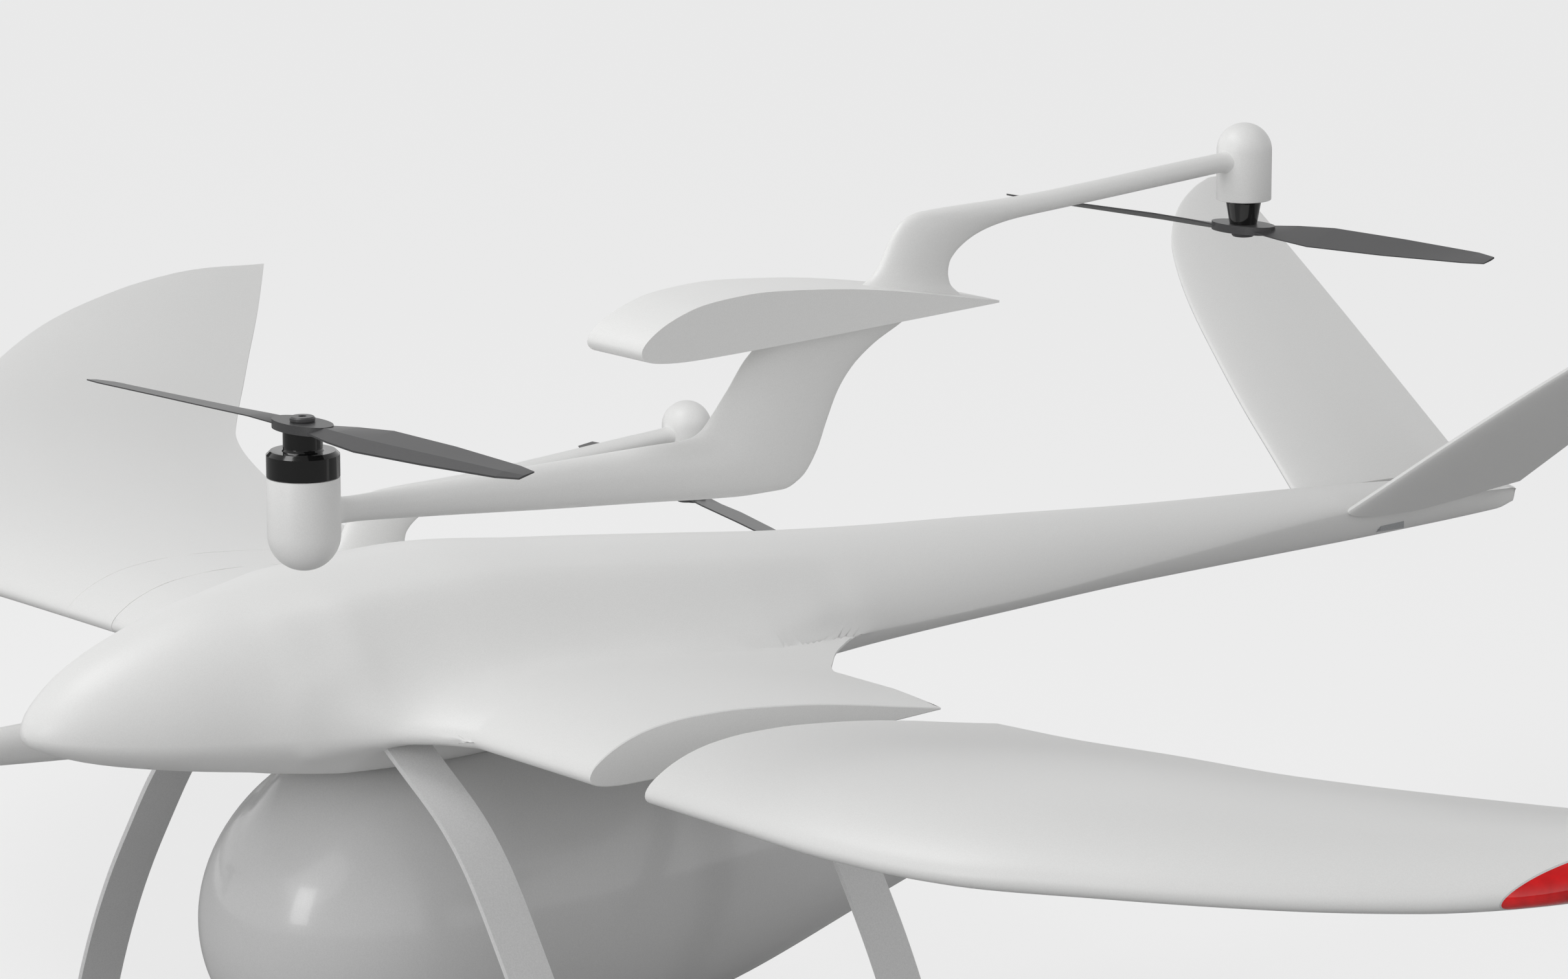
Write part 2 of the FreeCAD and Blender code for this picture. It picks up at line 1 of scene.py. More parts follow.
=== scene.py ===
import bpy
import math
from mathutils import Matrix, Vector


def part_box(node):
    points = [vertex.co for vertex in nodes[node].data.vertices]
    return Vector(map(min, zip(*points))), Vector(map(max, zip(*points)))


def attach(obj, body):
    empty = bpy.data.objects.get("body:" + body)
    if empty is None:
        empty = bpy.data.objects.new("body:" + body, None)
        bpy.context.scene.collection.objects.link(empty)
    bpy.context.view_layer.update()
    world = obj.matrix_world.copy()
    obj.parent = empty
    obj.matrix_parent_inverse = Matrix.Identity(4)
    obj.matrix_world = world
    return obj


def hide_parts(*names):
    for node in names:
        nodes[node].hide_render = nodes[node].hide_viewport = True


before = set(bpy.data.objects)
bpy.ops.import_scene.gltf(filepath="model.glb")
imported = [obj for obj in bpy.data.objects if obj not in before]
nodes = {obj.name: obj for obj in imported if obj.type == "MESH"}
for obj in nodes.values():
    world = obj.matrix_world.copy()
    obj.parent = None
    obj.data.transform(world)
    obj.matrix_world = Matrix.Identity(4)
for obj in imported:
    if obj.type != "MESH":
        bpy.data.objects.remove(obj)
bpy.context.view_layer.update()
bpy.ops.object.select_all(action="DESELECT")
print("frame loaded,", len(nodes), "nodes")

# lengths below are millimetres from the middle of the inner wing's leading edge: x to port, y aft, z up
mm = 0.001
standHeight = 540                                    # chord line above the feet
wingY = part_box("starboard_wing_segment")[0].y
moduleLift = round((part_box("port_wing_segment")[0].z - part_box("starboard_wing_segment")[0].z) / mm)
moduleX = 487                                        # rotor axes, out from the middle


def place(x, y, z):
    return Vector((x * mm, wingY + y * mm, (standHeight + z) * mm))


def throughPoints(table, column=1):
    # a smooth curve through a table's rows that never overshoots between two of them
    xs, ys = [row[0] for row in table], [row[column] for row in table]
    slopes = [(b - a) / (d - c) for a, b, c, d in zip(ys, ys[1:], xs, xs[1:])]
    middle = [0 if a * b <= 0 else 2 * a * b / (a + b) for a, b in zip(slopes, slopes[1:])]
    lean = [slopes[0]] + middle + [slopes[-1]]

    def value(x):
        x = min(max(x, xs[0]), xs[-1])
        i = max(k for k in range(len(xs) - 1) if xs[k] <= x)
        h = xs[i + 1] - xs[i]
        u = (x - xs[i]) / h
        return ((1 + 2 * u) * (1 - u) ** 2 * ys[i] + u * u * (3 - 2 * u) * ys[i + 1]
                + h * u * (1 - u) ** 2 * lean[i] - h * u * u * (1 - u) * lean[i + 1])
    return value


def spread(start, end, count):
    return [start + (end - start) * i / count for i in range(count + 1)]


def cleanMesh(piece, angle=32):
    # closes the seam, the poles and the ends, and turns every face outwards
    bpy.ops.object.select_all(action="DESELECT")
    piece.select_set(True)
    bpy.context.view_layer.objects.active = piece
    bpy.ops.object.mode_set(mode="EDIT")
    bpy.ops.mesh.select_all(action="SELECT")
    bpy.ops.mesh.remove_doubles(threshold=0.00004)
    bpy.ops.mesh.dissolve_degenerate(threshold=0.00001)
    bpy.ops.mesh.select_all(action="SELECT")
    bpy.ops.mesh.fill_holes(sides=0)
    bpy.ops.mesh.select_all(action="SELECT")
    bpy.ops.mesh.normals_make_consistent(inside=False)
    bpy.ops.object.mode_set(mode="OBJECT")
    bpy.ops.object.shade_smooth_by_angle(angle=math.radians(angle))
    piece.select_set(False)
    return piece


def skinOver(name, rows, angle=32):
    # a grid whose rows of vertices are pulled onto the piece's sections
    bpy.ops.object.select_all(action="DESELECT")
    bpy.ops.mesh.primitive_grid_add(x_subdivisions=len(rows[0]) - 1, y_subdivisions=len(rows) - 1, size=2)
    piece = bpy.context.object
    piece.name = piece.data.name = name
    piece.data.vertices.foreach_set("co", [c for row in rows for point in row for c in place(*point)])
    piece.data.update()
    return cleanMesh(piece, angle)


def applied(piece, kind, **settings):
    modifier = piece.modifiers.new(kind.title(), kind)
    for key, value in settings.items():
        setattr(modifier, key, value)
    bpy.ops.object.select_all(action="DESELECT")
    piece.select_set(True)
    bpy.context.view_layer.objects.active = piece
    bpy.ops.object.modifier_apply(modifier=modifier.name)
    piece.select_set(False)
    return piece


def joined(name, *pieces):
    bpy.ops.object.select_all(action="DESELECT")
    for piece in pieces:
        piece.select_set(True)
    bpy.context.view_layer.objects.active = pieces[0]
    bpy.ops.object.join()
    piece = bpy.context.object
    piece.name = piece.data.name = name
    piece.select_set(False)
    return piece


def copied(piece, name, across=False, up=0):
    # its own mesh each time; across gives the starboard twin of a port piece
    twin = piece.copy()
    twin.data = piece.data.copy()
    twin.name = twin.data.name = name
    bpy.context.scene.collection.objects.link(twin)
    bpy.ops.object.select_all(action="DESELECT")
    twin.select_set(True)
    bpy.context.view_layer.objects.active = twin
    bpy.ops.object.mode_set(mode="EDIT")
    bpy.ops.mesh.select_all(action="SELECT")
    if up:
        bpy.ops.transform.translate(value=(0, 0, up * mm))
    if across:
        bpy.ops.transform.mirror(constraint_axis=(True, False, False), center_override=(0, 0, 0))
        bpy.ops.mesh.select_all(action="SELECT")
        bpy.ops.mesh.normals_make_consistent(inside=False)
    bpy.ops.object.mode_set(mode="OBJECT")
    twin.select_set(False)
    return twin


def turned(name, profile, x, y, steps=64, angle=32):
    # (radius, height) corners carried round an upright axis
    rows = [[(x + r * math.cos(a), y + r * math.sin(a), z) for a in spread(0, 2 * math.pi,
                                                                           steps)] for r, z in profile]
    return skinOver(name, rows, angle)


# the finishes, mixed from sRGB colours
def linear(hexColour):
    parts = [int(hexColour[i:i + 2], 16) / 255 for i in (1, 3, 5)]
    return [p / 12.92 if p <= 0.04045 else ((p + 0.055) / 1.055) ** 2.4 for p in parts] + [1]


def addNode(tree, kind, settings=None, links=None):
    new = tree.nodes.new(kind)
    for key, value in (settings or {}).items():
        if hasattr(new, key):
            setattr(new, key, value)
        else:
            new.inputs[key].default_value = value
    for key, (source, output) in (links or {}).items():
        tree.links.new(source.outputs[output], new.inputs[key])
    return new


def finishMaterial(name, light, dark, roughness, roughest, grain, bump, metallic=0.0, coat=0.0, ior=1.5,
                   stretch=(1, 1, 1), weave=False):
    # grain is the size of one speck in mm; stretch draws it out along an axis, as brushing or wood grain does
    material = bpy.data.materials.new(name)
    material.use_nodes = True
    tree = material.node_tree
    shader = tree.nodes["Principled BSDF"]
    shader.inputs["Metallic"].default_value = metallic
    shader.inputs["Coat Weight"].default_value = coat
    shader.inputs["Coat Roughness"].default_value = 0.06
    shader.inputs["IOR"].default_value = ior
    where = addNode(tree, "ShaderNodeTexCoord")
    turn = addNode(tree, "ShaderNodeMapping", {"Scale": stretch}, {"Vector": (where, "Object")})
    if weave:
        speck = addNode(tree, "ShaderNodeTexChecker", {"Scale": 1 / (grain * mm)},
                        {"Vector": (turn, "Vector")})
    else:
        speck = addNode(tree, "ShaderNodeTexNoise", {"Scale": 1 / (grain * mm), "Detail": 3.0,
                                                     "Roughness": 0.6},
                        {"Vector": (turn, "Vector")})
    fac = (speck, "Fac")
    tint = addNode(tree, "ShaderNodeValToRGB", links={"Fac": fac})
    tint.color_ramp.elements[0].position = 0.3
    tint.color_ramp.elements[0].color = linear(dark)
    tint.color_ramp.elements[1].position = 0.7
    tint.color_ramp.elements[1].color = linear(light)
    rough = addNode(tree, "ShaderNodeMapRange", {"To Min": roughness, "To Max": roughest}, {"Value": fac})
    relief = addNode(tree, "ShaderNodeBump", {"Strength": bump, "Distance": grain * mm * 0.25},
                     {"Height": fac})
    tree.links.new(tint.outputs["Color"], shader.inputs["Base Color"])
    tree.links.new(rough.outputs["Result"], shader.inputs["Roughness"])
    tree.links.new(relief.outputs["Normal"], shader.inputs["Normal"])
    return material


finishes = {
    # sprayed satin lacquer over composite: near white, a soft sheen, a fine orange peel
    "body_white": finishMaterial("satinLacquer", "#EFEFEE", "#E9E9E8", 0.36, 0.46, 1.4, 0.10),
    "wing_white": finishMaterial("satinWingLacquer", "#EFEFEE", "#E9E9E8", 0.36, 0.46, 1.4, 0.10),
    # the same paint rubbed to a semi gloss: soft reflections of the lights; its colour is set greyer than the body's
    # white as painted shade for the pod's place under the belly
    "pod_white": finishMaterial("semiGlossLacquerPaintedShade", "#D6D6D6", "#CECECE", 0.20, 0.28, 1.4, 0.07,
                                coat=0.3),
    # powder coated spring strip: a shade greyer, drier
    "leg_white": finishMaterial("powderCoatedStrip", "#DEDEDE", "#D2D2D2", 0.42, 0.55, 1.8, 0.15),
    # dull, near black, with a fine tooth
    "foot_rubber": finishMaterial("mouldedRubber", "#2A2A2A", "#1B1B1B", 0.62, 0.80, 1.5, 0.25),
    # moulded glass filled nylon, dark grey with a dull shine
    "blade_black": finishMaterial("satinNylon", "#4A4A4B", "#414142", 0.28, 0.38, 1.2, 0.06, ior=1.53),
    # hard anodised and polished bell
    "motor_black": finishMaterial("polishedBlackAnodise", "#161616", "#0E0E0E", 0.10, 0.16, 1.0, 0.02,
                                  coat=0.4),
    # copper windings and steel laminations, seen as a warm mottled metal
    "stator_metal": finishMaterial("copperAndSteelCore", "#9A6A44", "#5B4636", 0.30, 0.45, 2.5, 0.3,
                                   metallic=0.9),
    # clear dyed acrylic: saturated, with a sharp glint
    "lens_red": finishMaterial("redAcrylic", "#F01218", "#C30A10", 0.04, 0.08, 30.0, 0.02, coat=0.6,
                               ior=1.49),
    "lens_green": finishMaterial("greenAcrylic", "#2FE010", "#1CB308", 0.04, 0.08, 30.0, 0.02, coat=0.6,
                                 ior=1.49),
    # a pale matt line round the lens
    "seal_grey": finishMaterial("siliconeSeal", "#D9D9D9", "#C6C6C6", 0.40, 0.55, 1.2, 0.1),
    # the flat green of a circuit board
    "board_green": finishMaterial("solderMaskBoard", "#1E6B36", "#17552B", 0.30, 0.42, 2.0, 0.1),
    # a small grey and black check under clear resin
    "carbon_tube": finishMaterial("wovenCarbon", "#3A3A3C", "#141415", 0.25, 0.35, 2.0, 0.1, coat=0.5,
                                  weave=True),
    # pale wood with its grain drawn out
    "former_ply": finishMaterial("birchPly", "#D9B98A", "#B8925F", 0.50, 0.65, 2.0, 0.2,
                                 stretch=(0.15, 1, 6)),
    # bright metal with fine lines from the cutter
    "machined_aluminium": finishMaterial("machinedAluminium", "#C9CBCD", "#B7B9BB", 0.25, 0.38, 0.8, 0.08,
                                         metallic=1.0, stretch=(0.1, 1, 1)),
    # a greyer, duller metal than the aluminium
    "screw_steel": finishMaterial("zincPlatedSteel", "#A9ABAD", "#8F9193", 0.22, 0.34, 0.8, 0.06,
                                  metallic=1.0),
    # blue film pulled tight, slightly wrinkled
    "battery_wrap": finishMaterial("shrinkWrapFilm", "#2C4F8F", "#274681", 0.22, 0.34, 6.0, 0.15),
    # a dry textured black
    "case_black": finishMaterial("mouldedCaseAbs", "#262627", "#1D1D1E", 0.45, 0.60, 1.0, 0.2),
}
print("finishes mixed,", len(finishes))

for node in nodes.values():
    finish = node.data.materials[0].name
    node.data.materials.clear()
    node.data.materials.append(finishes[finish])


def settle(piece, slot, body, *replaced):
    piece.data.materials.clear()
    piece.data.materials.append(finishes[slot])
    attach(piece, body)
    if replaced:
        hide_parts(*replaced)
    return piece


# wing section, as fractions of the chord

sectionOver = [(0, 0), (.008, .019), (.035, .040), (.075, .0605), (.13, .079), (.19, .090), (.28, .096),
               (.37, .0945), (.51, .083), (.63, .0685), (.755, .048), (.88, .0245), (1, .003)]
sectionUnder = [(0, 0), (.012, -.0158), (.046, -.0245), (.105, -.029), (.175, -.0293), (.29, -.0268),
                (.51, -.020), (.70, -.0130), (.88, -.0065), (1, -.002)]
overRoot = throughPoints([(math.sqrt(t), z) for t, z in sectionOver])     # read by root, so the nose comes out round
underRoot = throughPoints([(math.sqrt(t), z) for t, z in sectionUnder])


def overAt(t):
    return overRoot(math.sqrt(min(max(t, 0), 1)))


def underAt(t):
    return underRoot(math.sqrt(min(max(t, 0), 1)))


# centre body: nose, back, tail boom and the two wing stubs in one blended skin

centreBody = dict(
    chord=474, seam=1.1, cornerStart=490, cornerEnd=492, backColumns=34, stubColumns=9,
    half=[(-398.4, .3), (-398, 4), (-392, 20), (-372, 42), (-330, 68), (-267, 93), (-182, 114),
          (-43, 132), (100, 138),
          (285, 138), (474, 134), (619, 122), (760, 98), (905, 80), (1175, 54), (1474, 43), (1650, 37),
          (1809, 2)],
    chine=[(-398, 21), (-392, 20), (-372, 18), (-330, 14), (-267, 9), (-182, 4), (-43, 0), (474, 0),
           (619, 0),
           (760, -5), (905, -7), (1175, 0), (1474, 12), (1650, 8), (1770, 0), (1800, -8)],
    top=[(-398.4, 21.3), (-398, 24), (-392, 38), (-372, 58), (-330, 86), (-267, 112), (-182, 136),
         (-43, 150), (100, 154),
         (285, 136), (474, 115), (619, 99), (760, 87), (905, 77), (1175, 56), (1474, 37), (1650, 22),
         (1770, 6),
         (1800, -6)],
    bottom=[(-398.4, 20.7), (-398, 18), (-392, 10), (-372, 0), (-330, -15), (-267, -30), (-182, -46),
            (-43, -65), (100, -72),
            (285, -66), (474, -54), (619, -46), (760, -40), (905, -37), (1175, -34), (1474, -34),
            (1650, -32),
            (1770, -30), (1798, -24)],
    edge=[(-398.4, .3), (-398, 3), (-396, 12), (-392, 20), (-372, 42), (-330, 68), (-267, 93),
          (-182, 114), (-150, 126),
          (-110, 141), (-75, 160), (-45, 181), (-25, 200), (-8, 226), (0, 245), (490, 245), (497, 232),
          (521, 205),
          (547, 178), (577, 154), (617, 128), (680, 111), (760, 98), (905, 80), (1175, 54), (1474, 43),
          (1650, 37),
          (1755, 27), (1782, 18), (1796, 9), (1799.5, 1)],
    stubEdge=[(0, 442), (474, 442), (490, 344), (490.5, 273), (492, 245)],
    lead=[(126, -150), (141, -110), (160, -75), (181, -45), (200, -25), (226, -8), (245, 0), (442, 0)],
    trail=[(128, 617), (154, 577), (178, 547), (205, 521), (232, 497), (245, 491), (344, 490),
           (442, 474)],
    roundOver=[(-398, .5), (0, .54), (474, .54), (1809, .5)],
    roundUnder=[(-398, .5), (-210, .5), (0, .66), (474, .72), (800, .77), (1809, .77)],
    fairing=[(-398, 1.3), (60, 1.3), (300, 1.24), (474, 1.14), (560, 1.05), (617, 1.0), (1809, 1.0)],
    hollow=[(-398, 0), (-175, 0), (-20, .95), (250, .95), (400, .8), (500, .55), (580, .25), (660, .06),
            (760, 0)],
)


def onChord(foil, t, chord):
    return foil(t) * chord if 0 < t < 1 else 0


def shapeCentreBody(shape):
    read = {key: throughPoints(table) for key, table in shape.items() if isinstance(table, list)}
    ys = [-398.4, -398.2, -397.8, -397, -395, -392, -387, -380, -372, -362, -350, -336, -320, -303,
          -285, -265, -245, -224, -202,
          -182, -166, -150, -134, -118, -104, -90, -76, -62, -50, -39, -29, -20, -13, -7, -3, -1, -0.2]
    ys += [shape["chord"] * (i / 44) ** 2 for i in range(20)] + spread(100, 462, 30) + [467, 471, 474]
    ys = sorted(set(ys)) + [478, 482, 486, 489.9, 490.5, 492, 494, 498, 503, 509, 516, 524, 533, 543,
                            554, 566, 579,
                            592, 605, 618] + spread(634, 1760, 54) + [1769, 1777, 1784, 1789, 1793,
                                                                      1796, 1798, 1799.4]
    backColumns, stubColumns = shape["backColumns"], shape["stubColumns"]
    shared = stubColumns + 2
    rows = []
    for y in ys:
        chine, inner = read["chine"](y), read["edge"](y)
        outer = max(read["stubEdge"](y), inner) if 0 <= y < shape["cornerEnd"] else inner
        reach = min(inner, read["half"](y) * read["fairing"](y))

        def height(x, over):
            front, back = read["lead"](x), read["trail"](x)
            t = (y - front) / (back - front)
            foil = (overAt if over else underAt)
            middle = (y - read["lead"](0)) / (read["trail"](0) - read["lead"](0))
            s = min(x / max(reach, 1), 1)
            swell = (1 - s * s) ** read["roundOver" if over else "roundUnder"](y)
            u = min(max((s - 0.5) / 0.5, 0), 1)           # the flank hollows out to meet the wing
            swell *= 1 - read["hollow"](y) * u * u * (3 - 2 * u)
            rise = read["top" if over else "bottom"](y) - chine - onChord(foil, middle, shape["chord"])
            return chine + onChord(foil, t, shape["chord"]) + rise * swell

        across = [inner * math.sin(math.pi / 2 * i / backColumns) for i in range(backColumns + 1)]
        across += [inner + (outer - inner) * i / (stubColumns + 0.05) for i in range(1,
                                                                                     stubColumns + 1)] + [outer]
        over = [(x, y, height(x, True)) for x in across]
        under = [(x, y, height(x, False)) for x in reversed(across)]
        nick = min(shape["seam"], (over[-1][2] - under[0][2]) / 3)      # the joint face's edges are eased
        over[-1], under[0] = (outer, y, over[-1][2] - nick), (outer, y, under[0][2] + nick)
        if not 0 < y < shape["cornerStart"]:                         # fore and aft of the stubs the two skins share one edge
            over[-shared:] = [(inner, y, chine)] * shared
            under[:shared] = [(inner, y, chine)] * shared
        rows.append(over + under)
    half = skinOver("centreBodySkin", rows)
    # the grid is only the port half: its open middle was filled, so that wall goes before mirroring
    bpy.context.view_layer.objects.active = half
    bpy.ops.object.mode_set(mode="EDIT")
    bpy.ops.mesh.select_all(action="SELECT")
    bpy.ops.mesh.bisect(plane_co=(0.00005, 0, 0), plane_no=(1, 0, 0), clear_inner=True, use_fill=False)
    bpy.ops.object.mode_set(mode="OBJECT")
    applied(half, "MIRROR", use_clip=True, merge_threshold=0.0002)
    return cleanMesh(half, 34)


bodySkin = settle(shapeCentreBody(centreBody), "body_white", "airframe", "centre_body_shell")
print("centre body shaped,", len(bodySkin.data.polygons), "faces")


# outer wings, with the position light let into the leading edge

outerWing = dict(
    stations=[(532, 0, 474, 0), (628, 0, 490, 0), (760, -1, 528, 0), (864, 9, 553, 0), (956, 31, 583, 1),
              (1094, 108, 640, 3), (1219, 194, 705, 4), (1330, 285, 783, 8), (1420, 372, 853, 20),
              (1500, 480, 920, 50), (1560, 600, 975, 89), (1600, 745, 1010, 118), (1630, 930, 1036, 142)],
    lensMiddle=(1468, 446, 40), lensAlong=(80, 114, 35), lensHalf=(124, 40, 26), rim=2.0, tipStart=1614,
    tipRound=16, columns=40,
)


def shapeOuterWing(wing):
    lead, trail, rise = [throughPoints(wing["stations"], i) for i in (1, 2, 3)]
    first, last = wing["stations"][0][0], wing["stations"][-1][0]
    xs = [first, first + 1.1] + spread(first + 8, 1500, 64) + spread(1500, 1616, 24)[1:] + [1620, 1624,
                                                                                            1627, 1629,
                                                                                            1629.8]
    ts = [math.sin(math.pi / 2 * i / wing["columns"]) ** 2 for i in range(wing["columns"] + 1)]
    rows = []
    for x in xs:
        ease = 0.8 if x == first else 0                # the root's edge is eased, which shows as the joint line
        front, chord = lead(x) + ease, trail(x) - lead(x) - 2 * ease
        thin = 1 - ease * 0.05
        if x >= wing["tipStart"]:                      # the tip closes in a round
            thin = math.sqrt(max(1 - ((x - wing["tipStart"]) / wing["tipRound"]) ** 2, 0.0004))
        over = [(x, front + t * chord, rise(x) + overAt(t) * chord * thin) for t in reversed(ts)]
        under = [(x, front + t * chord, rise(x) + underAt(t) * chord * thin) for t in ts[1:]]
        rows.append(over + under + over[:1])
    return skinOver("portWingSkin", rows)


def lensBall(name, wing, grow):
    # a stretched ball lying along the leading edge
    bpy.ops.object.select_all(action="DESELECT")
    bpy.ops.mesh.primitive_uv_sphere_add(segments=96, ring_count=48, radius=1)
    ball = bpy.context.object
    ball.name = name
    along = Vector(wing["lensAlong"]).normalized()
    across = Vector((0, 0, 1)).cross(along).normalized()
    up = along.cross(across)
    a, b, c = [h + grow for h in wing["lensHalf"]]
    for vertex in ball.data.vertices:
        p = along * vertex.co.x * a + across * vertex.co.y * b + up * vertex.co.z * c + Vector(wing["lensMiddle"])
        vertex.co = place(*p)
    return ball


def cutWith(piece, ball, operation):
    applied(piece, "BOOLEAN", operation=operation, object=ball, solver="EXACT")
    return cleanMesh(piece)


portWing = shapeOuterWing(outerWing)
lensCut, sealCut = lensBall("lensCut", outerWing, 0), lensBall("sealCut", outerWing, outerWing["rim"])
portLens = cutWith(copied(portWing, "portPositionLens"), lensCut, "INTERSECT")
portSeal = cutWith(cutWith(copied(portWing, "portLensSeal"), sealCut, "INTERSECT"), lensCut, "DIFFERENCE")
cutWith(portWing, sealCut, "DIFFERENCE")
for ball in (lensCut, sealCut):
    bpy.data.objects.remove(ball)
for side, across in (("starboard", True), ("port", False)):
    wing = copied(portWing, "starboardWingSkin", True) if across else portWing
    lens = copied(portLens, "starboardPositionLens", True) if across else portLens
    seal = copied(portSeal, "starboardLensSeal", True) if across else portSeal
    settle(wing, "wing_white", side + "_outer_wing", side + "_outer_skin")
    settle(lens, "lens_green" if across else "lens_red", side + "_outer_wing", side + "_nav_lens")
    settle(seal, "seal_grey", side + "_outer_wing", side + "_nav_lens_seal")
print("outer wings shaped,", len(portWing.data.polygons), "faces each")


# tail fins

tailFin = dict(
    lean=36, crossing=-18, slim=0.95, tip=596.6, columns=28,
    stations=[(53, 1468, 1766), (136, 1482, 1766), (204, 1493, 1766), (302, 1514, 1766),
              (394, 1538, 1765),
              (480, 1574, 1763), (517, 1600, 1762), (554, 1639, 1760), (585, 1690, 1757),
              (597, 1722, 1753)],
    half=[(0, 0), (.02, .018), (.08, .033), (.2, .045), (.35, .048), (.6, .035), (.85, .014), (1, .003)],
)


def shapeFin(fin):
    lead, trail = throughPoints(fin["stations"], 1), throughPoints(fin["stations"], 2)
    thickness = throughPoints([(math.sqrt(t), h) for t, h in fin["half"]])
    turn = math.radians(fin["lean"])
    out, off = Vector((math.cos(turn), 0, math.sin(turn))), Vector((-math.sin(turn), 0, math.cos(turn)))
    ts = [math.sin(math.pi / 2 * i / fin["columns"]) ** 2 for i in range(fin["columns"] + 1)]
    rows = []
    for span in spread(fin["stations"][0][0], 540, 30) + spread(540, fin["tip"], 16)[1:]:
        chord = trail(span) - lead(span)
        loop = [(t, 1) for t in reversed(ts)] + [(t, -1) for t in ts[1:]]
        points = []
        for t, sign in loop + loop[:1]:
            p = out * span + off * (sign * thickness(math.sqrt(t)) * chord * fin["slim"])
            points.append((p.x, lead(span) + t * chord, p.z + fin["crossing"]))
        rows.append(points)
    return skinOver("portFinSkin", rows)


portFin = shapeFin(tailFin)
settle(copied(portFin, "starboardFinSkin", True), "wing_white", "starboard_tail_fin", "starboard_fin")
settle(portFin, "wing_white", "port_tail_fin", "port_fin")
print("fins shaped")


# payload pod, a teardrop whose shoulder flares up into the belly

payloadPod = dict(middleY=106, nose=260, radius=203, axis=-245, neckHalf=92, neckFront=-62,
                  neckBack=540, roof=-58,
                  flareEdge=1.22, flareWidth=0.42,
                  tail=[(106, 203), (200, 200.5), (300, 192), (492, 158), (702, 106), (880, 62),
                        (1010, 31),
                        (1070, 15), (1088, 4)])


def shapePod(pod):
    tail = throughPoints(pod["tail"])
    rings = [(pod["middleY"] - pod["nose"] * math.cos(a), max(pod["radius"] * math.sin(a), 0.4))
             for a in spread(0.001, math.pi / 2, 34)]
    rings += [(y, tail(y)) for y in spread(106, 1060, 70)[1:] + [1070, 1078, 1084, 1088]]
    rows = []
    for y, radius in rings:
        row = []
        for a in spread(0, 2 * math.pi, 128):
            x, z = radius * math.sin(a), pod["axis"] - radius * math.cos(a)
            long = (y - (pod["neckFront"] + pod["neckBack"]) / 2) / ((pod["neckBack"] - pod["neckFront"]) / 2)
            u = min(max((pod["flareEdge"] - math.hypot(x / pod["neckHalf"], long)) / pod["flareWidth"],
                        0), 1)
            if z > pod["axis"] and z < pod["roof"]:
                z += (pod["roof"] - z) * u * u * (3 - 2 * u)
            row.append((x, y, z))
        rows.append(row)
    return skinOver("payloadPodSkin", rows, 60)


settle(shapePod(payloadPod), "pod_white", "airframe", "payload_pod_shell")
print("pod shaped")


# lift modules: booms that rise out of their pylons, and the motor housings

# fore boom from the housing inwards: upper edge y z, lower edge y z, half width
foreBoom = [(-352, -102, -352, -136, 17), (-340, -106, -340, -132.5, 12.5), (-320, -107, -320, -133, 12),
            (-220, -107, -220, -141, 15), (-84, -106, -84, -153, 19), (40, -105.5, 40, -163, 22),
            (82, -106, 120, -170, 23.5), (100, -104.5, 172, -173, 24), (114, -98, 214, -173, 23.5),
            (127, -84, 240, -164, 22), (138, -71, 261, -139, 20.5), (149, -58, 275, -108, 19.5),
            (158, -46, 290, -78, 19), (168, -34, 309, -55, 19), (180, -23, 340, -33, 19.5),
            (190, -12, 376, -16, 21),
            (196, -2, 392, -6, 22)]
aftBoom = [(318, 20, 466, -2, 24), (325, 27, 452, 8, 19), (332, 31, 443, 17, 16.5),
           (339, 36, 440, 29, 15.5),
           (347, 44, 442, 40, 15), (356, 59, 449, 49, 15), (366, 76, 462, 58, 15),
           (379, 89, 480, 66, 14.8),
           (402, 96.5, 503, 72, 14.2), (445, 98, 530, 76, 13.6), (500, 98.5, 556, 78, 13),
           (560, 100, 590, 80, 12.5),
           (651, 105, 655, 84, 12), (765, 112.5, 765, 91, 11.4), (825, 116, 825, 94.6, 11),
           (833, 117, 833, 94, 11.6),
           (841, 120, 841, 91, 14)]
housings = dict(
    foreY=-382, foreRadius=36, foreBottom=-173, foreTop=-80, aftY=865, aftRadius=30, aftTop=146,
    aftBottom=62)


def shapeBoom(name, sections, steps=40):
    count = len(sections) - 1
    read = [throughPoints([(i, row[k]) for i, row in enumerate(sections)]) for k in range(5)]
    rows = []
    for u in spread(0, count, count * 5):
        y0, z0, y1, z1, half = [value(u) for value in read]
        ring = []
        for a in spread(0, 2 * math.pi, steps):
            share = (1 - math.cos(a)) / 2
            ring.append((moduleX + half * math.sin(a), y0 + (y1 - y0) * share, z0 + (z1 - z0) * share))
        rows.append(ring)
    return skinOver(name, rows, 50)


def domeProfile(radius, dome, rim, bore=3.0):
    # from the crown of the dome to the rim, a small round there, and a lip turned inwards
    sign = 1 if rim > dome else -1
    curve = [(max(radius * math.sin(a), 0.05), dome + sign * radius * (1 - math.cos(a)))
             for a in spread(0.0, math.pi / 2, 18)]
    return curve + [(radius, rim - sign * 1.2), (radius - 0.35, rim - sign * 0.35), (radius - 1.2, rim),
                    (radius - bore, rim), (radius - bore, rim - sign * 30)]


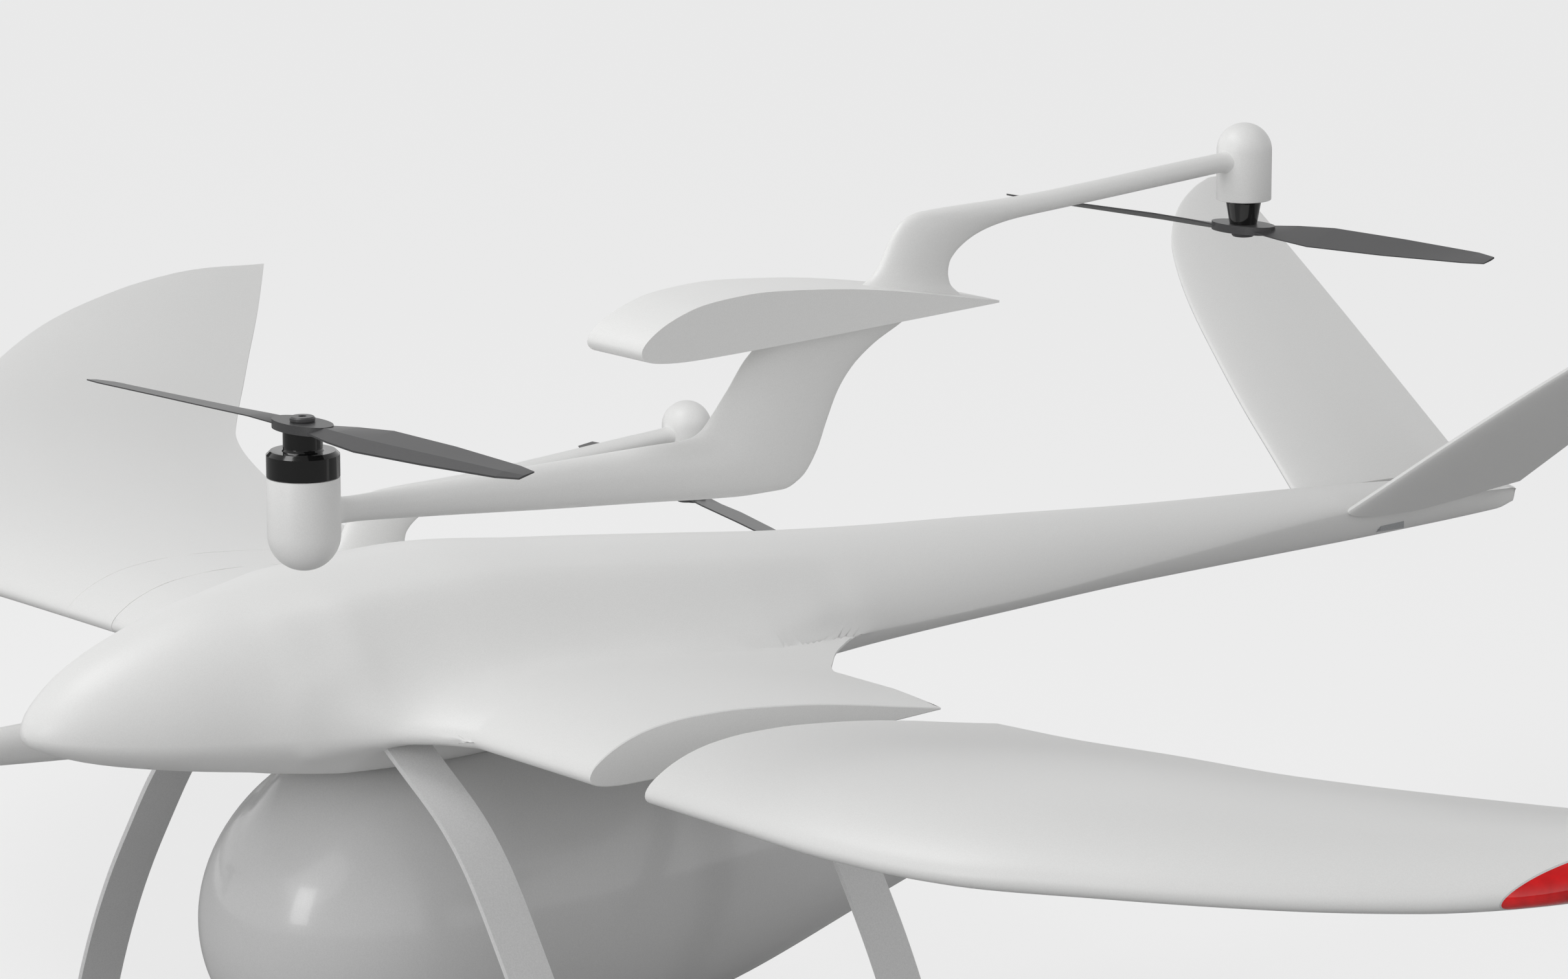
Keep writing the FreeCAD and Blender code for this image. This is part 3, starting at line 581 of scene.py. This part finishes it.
foreArm = shapeBoom("foreArm", foreBoom)
foreHousing = turned("foreHousing", domeProfile(housings["foreRadius"], housings["foreBottom"],
                                                housings["foreTop"]), moduleX, housings["foreY"])
portFore = joined("portForeBoom", foreArm, foreHousing)
aftArm = shapeBoom("aftArm", aftBoom)
aftHousing = turned("aftHousing", domeProfile(housings["aftRadius"], housings["aftTop"],
                                              housings["aftBottom"]), moduleX, housings["aftY"])
portAft = joined("portAftBoom", aftArm, aftHousing)
for side, across, up in (("starboard", True, 0), ("port", False, moduleLift)):
    settle(copied(portFore, side + "ForeBoomSkin", across, up), "body_white", side + "_lift_module",
           side + "_front_boom")
    settle(copied(portAft, side + "AftBoomSkin", across, up), "body_white", side + "_lift_module",
           side + "_rear_boom")
for spare in (portFore, portAft):
    bpy.data.objects.remove(spare)
print("booms shaped")


# floor, lights, camera

studio = dict(
    floorGlow=1.21, floorEven=0.7, sensor=36,
    floor="#E9E9E9", bounce="#B4B4B4", sky="#FFFFFF", skyLow=0.95, skyHigh=0.20, sunPower=0.32,
    sunTilt=(52, 0, 12), sunSpread=38,
    camera=(5.4399, -4.5282, 2.1739), tilt=78.072, heading=50.666, lens=145.84,
    lights=[  # name, place, aim, width, height, power, colour
        ("leftPanel", (0.9, -4.6, 1.7), (0, -0.4, 0.6), 0.9, 1.8, 24, "#FFFFFF"),
        ("overheadPanel", (-0.6, -1.4, 3.4), (0, -0.2, 0.6), 2.0, 1.3, 30, "#FFFFFF"),
        ("rightStrip", (4.4, 1.8, 2.4), (0.3, 0.2, 0.6), 0.6, 2.2, 8, "#FFFFFF"),
    ],
)

bpy.ops.object.select_all(action="DESELECT")
bpy.ops.mesh.primitive_grid_add(x_subdivisions=8, y_subdivisions=8, size=160)
floor = bpy.context.object
floor.name = "studioFloor"
floorPaint = bpy.data.materials.new("mattFloorPaint")
floorPaint.use_nodes = True
tree = floorPaint.node_tree
tree.nodes.remove(tree.nodes["Principled BSDF"])
ray = addNode(tree, "ShaderNodeLightPath")
even = addNode(tree, "ShaderNodeEmission", {"Color": linear(studio["floor"]),
                                            "Strength": studio["floorGlow"]})
paint = addNode(tree, "ShaderNodeBsdfDiffuse", {"Color": linear(studio["floor"])})
seen = addNode(tree, "ShaderNodeMixShader", {"Fac": studio["floorEven"]})
tree.links.new(paint.outputs["BSDF"], seen.inputs[1])
tree.links.new(even.outputs["Emission"], seen.inputs[2])
thrown = addNode(tree, "ShaderNodeBsdfDiffuse", {"Color": linear(studio["bounce"])})    # what it throws back up
both = addNode(tree, "ShaderNodeMixShader", links={"Fac": (ray, "Is Camera Ray")})
tree.links.new(thrown.outputs["BSDF"], both.inputs[1])
tree.links.new(seen.outputs["Shader"], both.inputs[2])
tree.links.new(both.outputs["Shader"], tree.nodes["Material Output"].inputs["Surface"])
floor.data.materials.append(floorPaint)

bpy.ops.object.light_add(type="SUN", rotation=[math.radians(a) for a in studio["sunTilt"]])
sun = bpy.context.object
sun.name = "softSun"
sun.data.energy = studio["sunPower"]
sun.data.angle = math.radians(studio["sunSpread"])

world = bpy.data.worlds.new("studio")
bpy.context.scene.world = world
world.use_nodes = True
tree = world.node_tree
backing = tree.nodes["Background"]
backing.inputs["Color"].default_value = linear(studio["sky"])
aimed = addNode(tree, "ShaderNodeTexCoord")
split = addNode(tree, "ShaderNodeSeparateXYZ", links={"Vector": (aimed, "Generated")})
dome = addNode(tree, "ShaderNodeMapRange", {"To Min": studio["skyLow"], "To Max": studio["skyHigh"]},
               {"Value": (split, "Z")})                # brighter round the walls than overhead
tree.links.new(dome.outputs["Result"], backing.inputs["Strength"])

for name, spot, aim, width, height, power, colour in studio["lights"]:
    bpy.ops.object.light_add(type="AREA", location=spot)
    light = bpy.context.object
    light.name = name
    light.data.shape = "RECTANGLE"
    light.data.size, light.data.size_y = width, height
    light.data.energy = power
    light.data.color = linear(colour)[:3]
    light.rotation_euler = (Vector(aim) - Vector(spot)).to_track_quat("-Z", "Y").to_euler()

bpy.ops.object.camera_add(location=studio["camera"],
                          rotation=(math.radians(studio["tilt"]), 0, math.radians(studio["heading"])))
camera = bpy.context.object
camera.data.lens = studio["lens"]
camera.data.sensor_width = studio["sensor"]
bpy.context.scene.camera = camera
bpy.context.scene.view_settings.view_transform = "Standard"
print("studio set")
